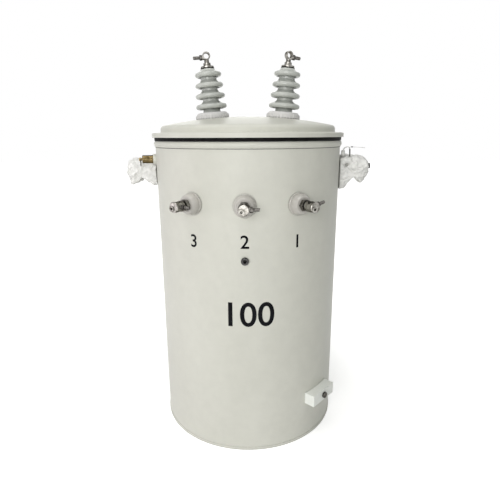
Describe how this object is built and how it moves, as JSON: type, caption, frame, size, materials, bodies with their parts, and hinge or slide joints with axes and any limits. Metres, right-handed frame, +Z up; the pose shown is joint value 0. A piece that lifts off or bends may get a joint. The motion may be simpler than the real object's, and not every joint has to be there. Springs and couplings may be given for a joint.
{
  "type": "pole-mounted oil-immersed transformer",
  "caption": "Single-phase oil-immersed pole transformer: round steel tank, domed lid, ribbed porcelain bushings above and stud bushings on the front.",
  "frame": {"origin": "centre of the tank's base, on the floor", "axes": "+Z up the tank, -Y out of the low-voltage side, +X to the right seen from that side"},
  "size_m": [0.738, 0.703, 1.149],
  "materials": {
    "tank_paint": "satin",
    "collar_paint": "satin",
    "grey_porcelain": "gloss",
    "pale_porcelain": "gloss",
    "black_rubber": "matte",
    "tinned_metal": "satin",
    "bolt_steel": "satin",
    "valve_brass": "satin",
    "ring_steel": "satin",
    "amber_oil": "gloss",
    "white_foam": "matte"
  },
  "bodies": {
    "transformer": {"box_bolt": "bolt_steel", "core_and_oil": "amber_oil", "foam_wrap_left": "white_foam", "foam_wrap_right": "white_foam", "foot_ring": "tank_paint", "ground_boss": "tank_paint", "hanger_bracket_lower": "tank_paint", "hanger_bracket_upper": "tank_paint", "hv_bolt_left": "bolt_steel", "hv_bolt_right": "bolt_steel", "hv_cap_left": "tinned_metal", "hv_cap_right": "tinned_metal", "hv_collar_left": "collar_paint", "hv_collar_right": "collar_paint", "hv_connector_left": "tinned_metal", "hv_connector_right": "tinned_metal", "hv_porcelain_left": "grey_porcelain", "hv_porcelain_right": "grey_porcelain", "hv_seal_left": "black_rubber", "hv_seal_right": "black_rubber", "lid": "tank_paint", "lid_gasket": "black_rubber", "lifting_lug_left": "tank_paint", "lifting_lug_right": "tank_paint", "lower_box": "tank_paint", "lv_bolt_left": "bolt_steel", "lv_bolt_middle": "bolt_steel", "lv_bolt_right": "bolt_steel", "lv_bushing_left": "pale_porcelain", "lv_bushing_middle": "pale_porcelain", "lv_bushing_right": "pale_porcelain", "lv_connector_left": "tinned_metal", "lv_connector_middle": "tinned_metal", "lv_connector_right": "tinned_metal", "lv_nut_left": "tinned_metal", "lv_nut_middle": "tinned_metal", "lv_nut_right": "tinned_metal", "tank_bottom": "tank_paint", "tank_rim": "tank_paint", "tank_shell": "tank_paint", "valve_body": "valve_brass", "valve_coupling": "tank_paint"},
    "relief_stem": {"valve_stem": "valve_brass"},
    "pull_ring": {"pull_ring": "ring_steel"}
  },
  "joints": [
    {"name": "relief_pull", "type": "slide", "parent": "transformer", "child": "relief_stem", "axis": [-0.9781, -0.2079, 0], "range_m": [0, 0.004], "stiffness_N_per_m": 1500, "springref_m": -0.004},
    {"name": "ring_swing", "type": "hinge", "parent": "relief_stem", "child": "pull_ring", "pos_m": [-0.31937, -0.06788, 0.8425], "axis": [-0.2079, 0.9781, 0], "range_deg": [-15, 195]}
  ]
}
